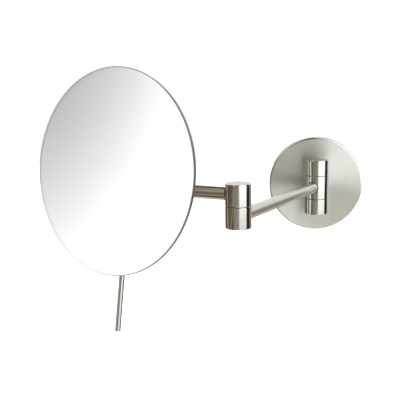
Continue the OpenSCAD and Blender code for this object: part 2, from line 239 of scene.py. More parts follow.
def wear_group():
    """Handling marks: soft smudges and a few hair scratches, as a mask from 0 to 1."""
    group, start, end = new_group(
        "Handling marks",
        [("Smudge size", "Float", 60.0), ("Scratch size", "Float", 400.0)],
        [("Smudge", "Float"), ("Scratch", "Float")])
    place = group.nodes.new("ShaderNodeTexCoord")
    smudge = group.nodes.new("ShaderNodeTexNoise")
    smudge.inputs["Detail"].default_value = 4.0
    smudge.inputs["Roughness"].default_value = 0.6
    group.links.new(place.outputs["Object"], smudge.inputs["Vector"])
    group.links.new(start.outputs["Smudge size"], smudge.inputs["Scale"])
    turned = group.nodes.new("ShaderNodeMapping")
    turned.inputs["Rotation"].default_value = (0.4, 0.7, 0.3)
    turned.inputs["Scale"].default_value = (1.0, 0.04, 1.0)
    group.links.new(place.outputs["Object"], turned.inputs["Vector"])
    line = group.nodes.new("ShaderNodeTexNoise")
    line.inputs["Detail"].default_value = 1.0
    group.links.new(turned.outputs["Vector"], line.inputs["Vector"])
    group.links.new(start.outputs["Scratch size"], line.inputs["Scale"])
    for source, low, high, label in ((smudge, 0.38, 0.72, "Smudge"), (line, 0.70, 0.78, "Scratch")):
        ramp = group.nodes.new("ShaderNodeMapRange")
        ramp.inputs["From Min"].default_value = low
        ramp.inputs["From Max"].default_value = high
        group.links.new(source.outputs["Fac"], ramp.inputs["Value"])
        group.links.new(ramp.outputs["Result"], end.inputs[label])
    return group


GROUPS = {}


def use_group(tree, name, values):
    """Places a shared effect in a material, with its own values."""
    makers = {"Turned grain": grain_group, "Handling marks": wear_group}
    if name not in GROUPS:
        GROUPS[name] = makers[name]()
    node = tree.nodes.new("ShaderNodeGroup")
    node.node_tree = GROUPS[name]
    for label, value in values.items():
        node.inputs[label].default_value = value
    return node


def blend_colour(tree, factor, low, high):
    node = tree.nodes.new("ShaderNodeMix")
    node.data_type = "RGBA"
    node.inputs["A"].default_value = (*low, 1.0)
    node.inputs["B"].default_value = (*high, 1.0)
    tree.links.new(factor, node.inputs["Factor"])
    return node.outputs["Result"]


def map_range(tree, value, low, high):
    node = tree.nodes.new("ShaderNodeMapRange")
    node.inputs["To Min"].default_value = low
    node.inputs["To Max"].default_value = high
    tree.links.new(value, node.inputs["Value"])
    return node.outputs["Result"]


def new_material(name):
    material = bpy.data.materials.new(name)
    material.use_nodes = True
    tree = material.node_tree
    tree.nodes.clear()
    shader = tree.nodes.new("ShaderNodeBsdfPrincipled")
    out = tree.nodes.new("ShaderNodeOutputMaterial")
    tree.links.new(shader.outputs["BSDF"], out.inputs["Surface"])
    return material, tree, shader


def turned_metal(name, low, high, rough, rings, bump, anisotropy):
    """Plated metal with lathe grain, smudges and hair scratches."""
    material, tree, shader = new_material(name)
    grain = use_group(tree, "Turned grain", {"Rings": rings, "Contrast": 1.0})
    marks = use_group(tree, "Handling marks", {"Smudge size": 45.0, "Scratch size": 500.0})
    tree.links.new(blend_colour(tree, grain.outputs["Grain"], low, high), shader.inputs["Base Color"])
    shader.inputs["Metallic"].default_value = 1.0
    shader.inputs["Anisotropic"].default_value = anisotropy
    shader.inputs["Anisotropic Rotation"].default_value = 0.25
    smooth = map_range(tree, grain.outputs["Grain"], rough[1], rough[0])
    dull = math_node(tree, "MULTIPLY", marks.outputs["Smudge"], 0.05)
    tree.links.new(math_node(tree, "ADD", smooth, dull), shader.inputs["Roughness"])
    relief = tree.nodes.new("ShaderNodeBump")
    relief.inputs["Strength"].default_value = bump
    relief.inputs["Distance"].default_value = 0.02 * MM
    height = math_node(tree, "SUBTRACT", grain.outputs["Height"],
                       math_node(tree, "MULTIPLY", marks.outputs["Scratch"], 0.25))
    tree.links.new(height, relief.inputs["Height"])
    tree.links.new(relief.outputs["Normal"], shader.inputs["Normal"])
    if anisotropy:
        round_axis = tree.nodes.new("ShaderNodeTangent")
        round_axis.direction_type = "UV_MAP"
        round_axis.uv_map = "turn"
        tree.links.new(round_axis.outputs["Tangent"], shader.inputs["Tangent"])
    return material


def plain_metal(name, low, high, rough, scale):
    """Plated or sintered metal without a grain direction, for the pieces that came from the frame."""
    material, tree, shader = new_material(name)
    place = tree.nodes.new("ShaderNodeTexCoord")
    cloud = noise(tree, place.outputs["Object"], scale, 5.0, 0.6)
    marks = use_group(tree, "Handling marks", {"Smudge size": 80.0, "Scratch size": 600.0})
    tree.links.new(blend_colour(tree, cloud, low, high), shader.inputs["Base Color"])
    shader.inputs["Metallic"].default_value = 1.0
    level = map_range(tree, cloud, rough[0], rough[1])
    tree.links.new(math_node(tree, "ADD", level, math_node(tree, "MULTIPLY", marks.outputs["Smudge"], 0.08)),
                   shader.inputs["Roughness"])
    relief = tree.nodes.new("ShaderNodeBump")
    relief.inputs["Strength"].default_value = 0.15
    relief.inputs["Distance"].default_value = 0.03 * MM
    tree.links.new(noise(tree, place.outputs["Object"], scale * 12, 3.0, 0.6), relief.inputs["Height"])
    tree.links.new(relief.outputs["Normal"], shader.inputs["Normal"])
    return material


def shade(colour, amount):
    return tuple(channel * amount for channel in colour)


def silvered_glass(name, colour):
    """The silvered face of the mirror, with the faintest dust and wipe marks."""
    material, tree, shader = new_material(name)
    marks = use_group(tree, "Handling marks", {"Smudge size": 18.0, "Scratch size": 300.0})
    tree.links.new(blend_colour(tree, marks.outputs["Smudge"], colour, shade(colour, 0.985)),
                   shader.inputs["Base Color"])
    shader.inputs["Metallic"].default_value = 1.0
    shader.inputs["Coat Weight"].default_value = 0.3
    shader.inputs["Coat Roughness"].default_value = 0.01
    tree.links.new(map_range(tree, marks.outputs["Smudge"], 0.015, 0.03), shader.inputs["Roughness"])
    return material


def rim_glass(name, colour):
    """The polished edge of the glass, where the body colour shows."""
    material, tree, shader = new_material(name)
    place = tree.nodes.new("ShaderNodeTexCoord")
    cloud = noise(tree, place.outputs["Object"], 90.0, 3.0, 0.5)
    tree.links.new(blend_colour(tree, cloud, shade(colour, 0.85), shade(colour, 1.15)),
                   shader.inputs["Base Color"])
    shader.inputs["IOR"].default_value = 1.52
    shader.inputs["Coat Weight"].default_value = 1.0
    shader.inputs["Coat Roughness"].default_value = 0.03
    tree.links.new(map_range(tree, cloud, 0.08, 0.16), shader.inputs["Roughness"])
    return material


def foam(name):
    """Closed-cell black foam."""
    material, tree, shader = new_material(name)
    place = tree.nodes.new("ShaderNodeTexCoord")
    cells = tree.nodes.new("ShaderNodeTexVoronoi")
    cells.inputs["Scale"].default_value = 1500.0
    tree.links.new(place.outputs["Object"], cells.inputs["Vector"])
    tree.links.new(blend_colour(tree, cells.outputs["Distance"], (0.012, 0.012, 0.013), (0.04, 0.04, 0.042)),
                   shader.inputs["Base Color"])
    shader.inputs["Roughness"].default_value = 0.9
    relief = tree.nodes.new("ShaderNodeBump")
    relief.inputs["Strength"].default_value = 0.5
    relief.inputs["Distance"].default_value = 0.1 * MM
    tree.links.new(cells.outputs["Distance"], relief.inputs["Height"])
    tree.links.new(relief.outputs["Normal"], shader.inputs["Normal"])
    return material


MATERIALS = {}


def material(name):
    """A finish by its name, made the first time that it is asked for."""
    if name in MATERIALS:
        return MATERIALS[name]
    colours = bpy.context.scene.mirror_colours
    nickel, dark = tuple(colours.nickel), tuple(colours.nickel_dark)
    makers = {
        # The plate's nickel is painted 10 to 12 percent brighter than the other nickel: painted light that lifts
        # the whole plate.
        "plate nickel": lambda: turned_metal("plate nickel", shade(dark, 1.1), shade(nickel, 1.12),
                                             (0.36, 0.46), 1500.0, 0.25, 0.8),
        # The handle's nickel is painted darker than the other nickel: painted shade that tones down the highlight
        # along the handle.
        "handle nickel": lambda: turned_metal("handle nickel", shade(dark, 0.78), shade(nickel, 0.88),
                                              (0.30, 0.38), 1200.0, 0.10, 0.3),
        "edge nickel": lambda: turned_metal("edge nickel", dark, nickel, (0.10, 0.16), 900.0, 0.04, 0.3),
        "turned nickel": lambda: turned_metal("turned nickel", dark, nickel, (0.10, 0.18), 1300.0, 0.10, 0.6),
        "rod nickel": lambda: turned_metal("rod nickel", dark, nickel, (0.16, 0.24), 1200.0, 0.08, 0.4),
        "cast nickel": lambda: plain_metal("cast nickel", dark, nickel, (0.20, 0.30), 120.0),
        "zinc steel": lambda: plain_metal("zinc steel", shade(colours.steel, 0.75), tuple(colours.steel),
                                          (0.28, 0.42), 160.0),
        "backing steel": lambda: turned_metal("backing steel", (0.46, 0.40, 0.32),
                                              (0.60, 0.54, 0.44), (0.26, 0.36), 700.0, 0.2, 0.5),
        "bush bronze": lambda: plain_metal("bush bronze", shade(colours.bronze, 0.7), tuple(colours.bronze),
                                           (0.35, 0.5), 300.0),
        # The braze ring is real shape, but its dark colour is painted shade: it stands for the shadow and dark
        # reflection where a rod enters its block.
        "burnt braze": lambda: plain_metal("burnt braze", shade(colours.bronze, 0.4),
                                           shade(colours.bronze, 0.7), (0.30, 0.45), 400.0),
        "silvered glass": lambda: silvered_glass("silvered glass", tuple(colours.silver)),
        "rim glass": lambda: rim_glass("rim glass", tuple(colours.glass_rim)),
        "black foam": lambda: foam("black foam"),
    }
    MATERIALS[name] = makers[name]()
    return MATERIALS[name]


# ---- mesh helpers ----

def fillet(outline, steps=ROUND_STEPS):
    """Rounds the corners of an outline of (radius, height, round) points."""
    points = []
    for index, (r, z, size) in enumerate(outline):
        if size <= 0 or index in (0, len(outline) - 1):
            points.append((r, z))
            continue
        here = Vector((r, z))
        back = Vector(outline[index - 1][:2]) - here
        ahead = Vector(outline[index + 1][:2]) - here
        reach = min(size, back.length * 0.48, ahead.length * 0.48)
        start, end = here + back.normalized() * reach, here + ahead.normalized() * reach
        for step in range(steps + 1):
            t = step / steps
            place = start * (1 - t) ** 2 + here * 2 * t * (1 - t) + end * t ** 2
            points.append((place.x, place.y))
    return points


def finish_mesh(mesh):
    """Recalculated outward normals, smooth faces and sharp creases."""
    work = bmesh.new()
    work.from_mesh(mesh)
    bmesh.ops.remove_doubles(work, verts=work.verts, dist=0.002 * MM)
    bmesh.ops.recalc_face_normals(work, faces=work.faces)
    for face in work.faces:
        face.smooth = True
    work.to_mesh(mesh)
    work.free()
    mesh.set_sharp_from_angle(angle=SHARP_ANGLE)
    mesh.update()


def turned_mesh(name, outline, place, segments=LATHE_SEGMENTS):
    """Turns an outline about its own Z axis. The 'turn' map runs round the axis and along the outline."""
    profile = fillet(outline)
    lengths = [0.0]
    for (r0, z0), (r1, z1) in zip(profile, profile[1:]):
        lengths.append(lengths[-1] + math.hypot(r1 - r0, z1 - z0))
    work = bmesh.new()
    turn = work.loops.layers.uv.new("turn")
    rows = []
    for r, z in profile:
        if r < 1e-7:
            rows.append([work.verts.new((0, 0, z))] * segments)
        else:
            angles = [TURN * k / segments for k in range(segments)]
            rows.append([work.verts.new((r * math.cos(a), r * math.sin(a), z)) for a in angles])
    closed = rows if profile[0][0] < 1e-7 else rows + [rows[0]]
    lengths.append(lengths[-1] + math.dist(profile[-1], profile[0]))
    for row in range(len(closed) - 1):
        for k in range(segments):
            ahead = (k + 1) % segments
            corners = [(closed[row][k], k, row), (closed[row][ahead], k + 1, row),
                       (closed[row + 1][ahead], k + 1, row + 1), (closed[row + 1][k], k, row + 1)]
            loop = []
            for corner in corners:
                if not loop or corner[0] is not loop[-1][0]:
                    loop.append(corner)
            if loop[0][0] is loop[-1][0]:
                loop.pop()
            if len(loop) < 3:
                continue
            face = work.faces.new([corner[0] for corner in loop])
            for edge, (_, column, line) in zip(face.loops, loop):
                edge[turn].uv = (column / segments, lengths[line])
    mesh = bpy.data.meshes.new(name)
    work.to_mesh(mesh)
    work.free()
    mesh.transform(place)
    finish_mesh(mesh)
    return mesh


def add_piece(name, mesh, body, finish, nodes, weighted=True):
    """Links a finished mesh as a piece that rides on a body and stands for CAD nodes."""
    piece = bpy.data.objects.new(name, mesh)
    bpy.context.scene.collection.objects.link(piece)
    if not mesh.materials:
        mesh.materials.append(material(finish))
    if weighted:
        even = piece.modifiers.new("Even shading", "WEIGHTED_NORMAL")
        even.keep_sharp = True
    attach(piece, body)
    if nodes:
        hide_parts(*nodes)
    return piece


def scratch_object(mesh):
    made = bpy.data.objects.new("scratch", mesh)
    bpy.context.scene.collection.objects.link(made)
    return made


def cut_mesh(mesh, tool, operation="DIFFERENCE"):
    """The mesh after a boolean with the tool mesh."""
    body, cutter = scratch_object(mesh), scratch_object(tool)
    change = body.modifiers.new("cut", "BOOLEAN")
    change.operation = operation
    change.solver = "EXACT"
    change.object = cutter
    result = bpy.data.meshes.new_from_object(body.evaluated_get(bpy.context.evaluated_depsgraph_get()))
    for used in (body, cutter):
        bpy.data.objects.remove(used)
    result.name = mesh.name
    finish_mesh(result)
    return result


def drum_outline(radius, low, high, round_low, round_high, bore=0.0):
    """The outline of a plain drum, bored through if a bore is given."""
    if bore:
        return [(bore, low, 0), (radius, low, round_low), (radius, high, round_high), (bore, high, 0)]
    return [(0, low, 0), (radius, low, round_low), (radius, high, round_high), (0, high, 0)]


def upright(place, z=0.0):
    return Matrix.Translation((place.x, place.y, z))


def lengthwise(start, direction):
    """A place whose Z axis runs along direction."""
    return Matrix.Translation(start) @ direction.to_track_quat("Z", "Y").to_matrix().to_4x4()


def rod_mesh(name, start, end, radius, edge, segments=64):
    length = (end - start).length
    outline = [(0, 0, 0), (radius, 0, edge), (radius, length, edge), (0, length, 0)]
    return turned_mesh(name, outline, lengthwise(start, end - start), segments)


def mirror_place():
    """The mirror's own place: origin on the tilt axis, X out of the glass, Z up the glass."""
    pitch = bpy.context.scene.mirror_sizes.rest_pitch
    return (Matrix.Translation(TILT) @ Matrix.Rotation(FACE_TURN, 4, "Z")
            @ Matrix.Rotation(-pitch, 4, "Y"))


def facing(place):
    """Turns that place so that Z points out of the glass."""
    return place @ Matrix.Rotation(math.pi / 2, 4, "Y")


def rounded_copy(node, width, steps=2, name=None):
    """A merged copy of a CAD node with its flat faces joined and its edges bevelled."""
    mesh = frame["nodes"][node].data.copy()
    mesh.name = name or node
    mesh.materials.clear()
    work = bmesh.new()
    work.from_mesh(mesh)
    bmesh.ops.remove_doubles(work, verts=work.verts, dist=0.003 * MM)
    bmesh.ops.dissolve_limit(work, angle_limit=math.radians(0.5), verts=work.verts, edges=work.edges)
    sharp = [edge for edge in work.edges
             if len(edge.link_faces) == 2 and edge.calc_face_angle(0) > SHARP_ANGLE]
    bmesh.ops.bevel(work, geom=sharp, offset=width, offset_type="OFFSET", segments=steps,
                    profile=0.5, affect="EDGES", clamp_overlap=True)
    bmesh.ops.triangulate(work, faces=[face for face in work.faces if len(face.verts) > 4])
    work.to_mesh(mesh)
    work.free()
    finish_mesh(mesh)
    return mesh


# ---- wall body ----

class MIRROR_OT_wall_plate(bpy.types.Operator):
    """Builds the round wall plate with its rolled front edge and turned grain"""
    bl_idname = "mirror.wall_plate"
    bl_label = "Wall plate"

    def execute(self, context):
        sizes = context.scene.mirror_sizes
        low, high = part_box("wall_plate")
        radius = (high[0] - low[0]) / 2
        front, back = -low[1], -high[1]
        inner, floor = radius - PLATE_WALL, front - PLATE_WALL
        outline = [
            (0, front, 0), (radius, front, sizes.plate_round), (radius, back, 0.2 * MM),
            (inner, back, 0.2 * MM), (inner, floor, 0.4 * MM), (0, floor, 0),
        ]
        out_of_wall = Matrix.Rotation(math.pi / 2, 4, "X")
        mesh = turned_mesh("wall_plate_cover", outline, out_of_wall, 256)
        # The plate's face takes the nickel that is painted brighter, as painted light; the rim keeps the plain
        # nickel.
        mesh.materials.append(material("plate nickel"))
        mesh.materials.append(material("edge nickel"))
        for face in mesh.polygons:
            rim = math.hypot(face.center.x, face.center.z) > radius - sizes.plate_round
            face.material_index = 1 if rim else 0
        add_piece("wall_plate_cover", mesh, "wall", "plate nickel", ["wall_plate"])
        return {"FINISHED"}


class MIRROR_OT_post(bpy.types.Operator):
    """Builds the post's two fixed lugs with their necks; the turning hub is built with the turned blocks"""
    bl_idname = "mirror.post"
    bl_label = "Post"

    def execute(self, context):
        sizes = context.scene.mirror_sizes
        radius = box_size("post_hub").x / 2
        plate_front = -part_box("wall_plate")[0][1]
        for node, low_round, high_round in (
                ("post_upper_lug", sizes.seam_round, sizes.edge_round),
                ("post_lower_lug", sizes.edge_round, sizes.seam_round)):
            low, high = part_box(node)
            outline = drum_outline(radius, low[2], high[2], low_round, high_round)
            drum = turned_mesh(node, outline, upright(POST))
            neck = bmesh.new()
            bmesh.ops.create_cube(neck, size=1.0)
            depth = -POST.y - plate_front
            tall = high[2] - low[2] - 2 * NECK_INSET
            bmesh.ops.scale(neck, vec=(NECK_WIDE, depth, tall), verts=neck.verts)
            bmesh.ops.translate(neck, vec=(0, POST.y + depth / 2, (high[2] + low[2]) / 2), verts=neck.verts)
            bmesh.ops.bevel(neck, geom=neck.edges, offset=0.6 * MM, segments=3, profile=0.5, affect="EDGES")
            tool = bpy.data.meshes.new("neck")
            neck.to_mesh(tool)
            neck.free()
            mesh = cut_mesh(drum, tool, "UNION")
            add_piece(node + "_turned", mesh, "wall", "turned nickel", [node])
        return {"FINISHED"}


def socketed_block(name, place, low, high, rounds, bore, socket):
    """A turned block with a bolt bore and a blind socket for an arm rod."""
    radius, wall_start, direction, centre_z, rod_radius = socket
    mesh = turned_mesh(name, drum_outline(radius, low, high, *rounds, bore), upright(place))
    start = Vector((place.x, place.y, centre_z)) + direction * wall_start
    tool = rod_mesh("socket", start, start + direction * radius, rod_radius, 0)
    return cut_mesh(mesh, tool)


class MIRROR_OT_knuckles(bpy.types.Operator):
    """Builds the turned blocks: the post's hub, both elbow blocks and the knuckle"""
    bl_idname = "mirror.knuckles"
    bl_label = "Turned blocks"

    def execute(self, context):
        sizes = context.scene.mirror_sizes
        edge, seam = sizes.edge_round, sizes.seam_round
        rod = box_size("inner_rod").z / 2
        out = (ELBOW - POST).normalized()
        across = Vector((KNUCKLE.x - ELBOW.x, KNUCKLE.y - ELBOW.y, 0)).normalized()
        bush = box_size("elbow_bush").x / 2
        seat = bush + SOCKET_WALL
        rows = (
            ("post_hub", POST, (seam, seam), out, box_size("post_bush").x / 2, "inner_arm"),
            ("elbow_lower_block", ELBOW, (edge, seam), -out, bush, "inner_arm"),
            ("elbow_upper_block", ELBOW, (seam, edge), across, 0.0, "outer_arm"),
            ("knuckle_block", KNUCKLE, (edge, seam), -across, bush, "outer_arm"),
        )
        for node, place, rounds, direction, bore, body in rows:
            low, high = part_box(node)
            radius = (high[0] - low[0]) / 2
            rod_node = "inner_rod" if body == "inner_arm" else "outer_rod"
            socket = (radius, seat, direction, box_centre(rod_node).z, rod)
            mesh = socketed_block(node + "_turned", place, low[2], high[2], rounds, bore, socket)
            add_piece(node + "_turned", mesh, body, "turned nickel", [node])
        return {"FINISHED"}


def braze_ring(name, place, centre_z, direction, block, rod, width, steps=6, segments=72):
    """The concave ring of braze where a rod leaves the round side of a block."""
    side = Vector((-direction.y, direction.x, 0))
    work = bmesh.new()
    rows = []
    inset = 0.3 * MM
    rings = [(rod - inset, width * 1.2)]
    rings += [(rod + width * k / steps, width * (1 - math.sqrt(1 - (1 - k / steps) ** 2)))
              for k in range(steps + 1)]
    rings += [(rod + width, -inset), (rod - inset, -inset)]
    for radius, rise in rings:
        row = []
        for k in range(segments):
            turn = TURN * k / segments
            across, above = radius * math.cos(turn), radius * math.sin(turn)
            along = math.sqrt(block * block - across * across) + rise
            row.append(work.verts.new((place.x + direction.x * along + side.x * across,
                                       place.y + direction.y * along + side.y * across, centre_z + above)))
        rows.append(row)
    for index, row in enumerate(rows):
        after = rows[(index + 1) % len(rows)]
        for k in range(segments):
            ahead = (k + 1) % segments
            work.faces.new((row[k], row[ahead], after[ahead], after[k]))
    mesh = bpy.data.meshes.new(name)
    work.to_mesh(mesh)
    work.free()
    finish_mesh(mesh)
    return mesh


class MIRROR_OT_rods(bpy.types.Operator):
    """Builds both arm rods and the braze ring at each end"""
    bl_idname = "mirror.rods"
    bl_label = "Arm rods"

    def execute(self, context):
        fillet_w = context.scene.mirror_sizes.rod_fillet
        hub = box_size("post_hub").x / 2
        block = box_size("elbow_lower_block").x / 2
        radius = box_size("inner_rod").z / 2
        for node, body, start, end, first in (
                ("inner_rod", "inner_arm", POST, ELBOW, hub),
                ("outer_rod", "outer_arm", ELBOW, KNUCKLE, block)):
            z = box_centre(node).z
            start, end = Vector((start.x, start.y, z)), Vector((end.x, end.y, z))
            way = (end - start).normalized()
            mesh = rod_mesh(node + "_drawn", start + way * (first - ROD_INSET),
                            end - way * (block - ROD_INSET), radius, 0.3 * MM, 96)
            add_piece(node + "_drawn", mesh, body, "rod nickel", [node])
            for label, spot, heading, drum in (("near", start, way, first), ("far", end, -way, block)):
                ring = f"{node}_braze_{label}"
                mesh = braze_ring(ring, spot, z, heading, drum, radius, fillet_w)
                # Each braze ring is coloured dark with painted shade, for the shadow where the rod meets its
                # block.
                add_piece(ring, mesh, body, "burnt braze", [])
        return {"FINISHED"}


# ---- head and mirror bodies ----

class MIRROR_OT_swivel(bpy.types.Operator):
    """Builds the swivel block and the tilt hub, with every edge softened"""
    bl_idname = "mirror.swivel"
    bl_label = "Swivel and tilt hub"

    def execute(self, context):
        for node, body, slot in (("swivel_block", "head", "polished_nickel"),
                                 ("tilt_hub", "mirror", "satin_nickel")):
            mesh = rounded_copy(node, 0.35 * MM, name=node + "_eased")
            add_piece(node + "_eased", mesh, body, "cast nickel", [node])
        return {"FINISHED"}


def dish(radius):
    """How far the glass rises at a radius from its lowest point."""
    return DISH_DEPTH * (radius / GLASS_RADIUS) ** 2


class MIRROR_OT_glass(bpy.types.Operator):
    """Builds the dished mirror glass with its polished edge, and the backing plate"""
    bl_idname = "mirror.glass"
    bl_label = "Glass and backing"

    def execute(self, context):
        sizes = context.scene.mirror_sizes
        place = facing(mirror_place())
        back = GLASS_FRONT - DISH_DEPTH - GLASS_THICK
        rise = [GLASS_RADIUS * i / DISH_STEPS for i in range(DISH_STEPS)]
        outline = [(r, back + dish(r), 0) for r in rise]
        outline += [(GLASS_RADIUS, back + DISH_DEPTH, sizes.glass_edge),
                    (GLASS_RADIUS, GLASS_FRONT, sizes.glass_edge)]
        outline += [(r, back + GLASS_THICK + dish(r), 0) for r in reversed(rise)]
        mesh = turned_mesh("mirror_glass_dished", outline, place, 256)
        mesh.materials.append(material("silvered glass"))
        mesh.materials.append(material("rim glass"))
        to_local = place.inverted()
        for face in mesh.polygons:
            spot = to_local @ face.center
            face.material_index = 1 if math.hypot(spot.x, spot.y) > GLASS_RADIUS - SILVER_INSET else 0
        add_piece("mirror_glass_dished", mesh, "mirror", "silvered glass", ["mirror_glass"])

        start = back - PAD_THICK - BACKING_THICK
        rise = [BACKING_FLAT + (BACKING_RADIUS - BACKING_FLAT) * i / DISH_STEPS
                for i in range(1, DISH_STEPS)]
        lip = start + dish(BACKING_RADIUS)
        outline = [(0, start, 0), (BACKING_FLAT, start, 0)]
        outline += [(r, start + dish(r), 0) for r in rise]
        outline += [(BACKING_RADIUS, lip, 0.6 * MM), (BACKING_RADIUS, lip + BACKING_THICK, 0.4 * MM)]
        outline += [(r, start + BACKING_THICK + dish(r), 0) for r in reversed(rise)]
        outline += [(0, start + BACKING_THICK, 0)]
        mesh = turned_mesh("backing_plate_spun", outline, place, 256)
        add_piece("backing_plate_spun", mesh, "mirror", "backing steel", ["backing_plate"])
        return {"FINISHED"}


class MIRROR_OT_handle(bpy.types.Operator):
    """Builds the handle rod with its eased tip"""
    bl_idname = "mirror.handle"
    bl_label = "Handle rod"

    def execute(self, context):
        place = mirror_place() @ Matrix.Rotation(math.pi - HANDLE_LEAN, 4, "Y")
        outline = [(0, HANDLE_TOP, 0), (HANDLE_RADIUS, HANDLE_TOP, 0.2 * MM),
                   (HANDLE_RADIUS, HANDLE_LENGTH, 0.4 * MM), (0, HANDLE_LENGTH, 0)]
        mesh = turned_mesh("handle_rod_drawn", outline, place, 48)
        # The handle takes the nickel that is painted darker, as painted shade.
        add_piece("handle_rod_drawn", mesh, "mirror", "handle nickel", ["handle_rod"])
        return {"FINISHED"}


class MIRROR_OT_frame_finish(bpy.types.Operator):
    """Gives every piece that came straight from the frame its finish"""
    bl_idname = "mirror.frame_finish"
    bl_label = "Frame finishes"

    def execute(self, context):
        finishes = {
            "steel": "zinc steel", "bronze": "bush bronze", "foam_pad": "black foam",
            "satin_nickel": "cast nickel", "polished_nickel": "cast nickel", "mirror_glass": "silvered glass",
        }
        slots = {part["node"]: part["material_slot"] for part in frame["record"]["subparts"]}
        for name, node in frame["nodes"].items():
            node.data.materials.clear()
            node.data.materials.append(material(finishes[slots[name]]))
        return {"FINISHED"}


# ---- patterns of like pieces, made by node trees ----

def pattern_tree(name, source):
    """A node tree that sets copies of a piece on points, then gives them their finish."""
    tree = bpy.data.node_groups.new(name, "GeometryNodeTree")
    socket(tree, "Geometry", "Geometry", "INPUT")
    for label, kind, default in (("Piece", "Object", None), ("Finish", "Material", None),
                                 ("Count", "Int", 2), ("Size", "Float", 0.01), ("First angle", "Float", 0.0)):
        socket(tree, label, kind, "INPUT", default)
    socket(tree, "Geometry", "Geometry", "OUTPUT")
    start, end = tree.nodes.new("NodeGroupInput"), tree.nodes.new("NodeGroupOutput")
    given = start.outputs
    points = tree.nodes.new(source)
    tree.links.new(given["Count"], points.inputs["Vertices" if source.endswith("Circle") else "Count"])
    if source.endswith("Circle"):
        tree.links.new(given["Size"], points.inputs["Radius"])
    else:
        points.mode = "OFFSET"
        step = tree.nodes.new("ShaderNodeCombineXYZ")
        tree.links.new(given["Size"], step.inputs["Z"])
        tree.links.new(step.outputs[0], points.inputs["Offset"])
    piece = tree.nodes.new("GeometryNodeObjectInfo")
    tree.links.new(given["Piece"], piece.inputs["Object"])
    spread = tree.nodes.new("GeometryNodeInstanceOnPoints")
    tree.links.new(points.outputs["Mesh"], spread.inputs["Points"])
    tree.links.new(piece.outputs["Geometry"], spread.inputs["Instance"])
    turned = tree.nodes.new("GeometryNodeTransform")
    angle = tree.nodes.new("ShaderNodeCombineXYZ")
    tree.links.new(given["First angle"], angle.inputs["Z"])
    tree.links.new(angle.outputs[0], turned.inputs["Rotation"])
    real = tree.nodes.new("GeometryNodeRealizeInstances")
    finish = tree.nodes.new("GeometryNodeSetMaterial")
    tree.links.new(spread.outputs["Instances"], turned.inputs["Geometry"])
    tree.links.new(turned.outputs["Geometry"], real.inputs["Geometry"])
    tree.links.new(real.outputs["Geometry"], finish.inputs["Geometry"])
    tree.links.new(given["Finish"], finish.inputs["Material"])
    tree.links.new(finish.outputs["Geometry"], end.inputs["Geometry"])
    return tree


PATTERNS = {}


def patterned(name, single, finish, source, count, size, first_angle, place):
    """The plain mesh of a pattern: copies of one mesh round a circle or along a row."""
    if source not in PATTERNS:
        PATTERNS[source] = pattern_tree(name, source)
    tree = PATTERNS[source]
    piece, holder = scratch_object(single), scratch_object(bpy.data.meshes.new(name))
    spread = holder.modifiers.new("Pattern", "NODES")
    spread.node_group = tree
    names = {item.name: item.identifier for item in tree.interface.items_tree if item.in_out == "INPUT"}
    for label, value in (("Piece", piece), ("Finish", material(finish)), ("Count", count),
                         ("Size", size), ("First angle", first_angle)):
        spread[names[label]] = value
    mesh = bpy.data.meshes.new_from_object(holder.evaluated_get(bpy.context.evaluated_depsgraph_get()))
    holder.modifiers.remove(spread)
    for used in (holder, piece):
        bpy.data.objects.remove(used)
    mesh.name = name
    mesh.transform(place)
    mesh.set_sharp_from_angle(angle=SHARP_ANGLE)
    return mesh


def cross_head_screw(name, head, thick, shank, length):
    """A pan-head screw with a cross recess, its seat at the origin and its head below."""
    outline = [(0, -thick, 0), (head, -thick, 0.5 * thick), (head, 0, 0.1 * MM),
               (shank, 0, 0), (shank, length, 0.3 * MM), (0, length, 0)]
    screw = turned_mesh(name, outline, Matrix(), 48)
    cross = bmesh.new()
    for wide, tall in ((0.9 * MM, 4.0 * MM), (4.0 * MM, 0.9 * MM)):
        made = bmesh.ops.create_cube(cross, size=1.0)["verts"]
        bmesh.ops.scale(cross, vec=(wide, tall, 2 * MM), verts=made)
        bmesh.ops.translate(cross, vec=(0, 0, -thick), verts=made)
        tool = bpy.data.meshes.new("slot")
        cross.to_mesh(tool)
        cross.clear()
        screw = cut_mesh(screw, tool)
    cross.free()
    return screw


class MIRROR_OT_fasteners(bpy.types.Operator):
    """Builds the flange screws and the pairs of bronze washers as patterns"""
    bl_idname = "mirror.fasteners"
    bl_label = "Screws and washers"

    def execute(self, context):
        circle, rings = "GeometryNodeMeshCircle", "GeometryNodeMeshLine"
        place = facing(mirror_place())
        screw = cross_head_screw("flange_screw", head=3.8 * MM, thick=2.4 * MM, shank=2.0 * MM, length=5.5 * MM)
        mesh = patterned("hub_screw_set", screw, "zinc steel", circle, 4, HUB_SCREW_CIRCLE, math.pi / 4,
                         place @ Matrix.Translation((0, 0, HUB_SCREW_SEAT)))
        add_piece("hub_screw_set", mesh, "mirror", "zinc steel", ["hub_screws"])

        low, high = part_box("post_washers")
        outer = (high[0] - low[0]) / 2
        outline = drum_outline(outer, 0, WASHER_THICK, 0.1 * MM, 0.1 * MM, WASHER_BORE)
        washer = turned_mesh("post_washer", outline, Matrix(), 96)
        mesh = patterned("post_washer_pair", washer, "bush bronze", rings, 2,
                         high[2] - low[2] - WASHER_THICK, 0.0, upright(POST, low[2]))
        add_piece("post_washer_pair", mesh, "wall", "bush bronze", ["post_washers"])
        return {"FINISHED"}


# ---- stage ----

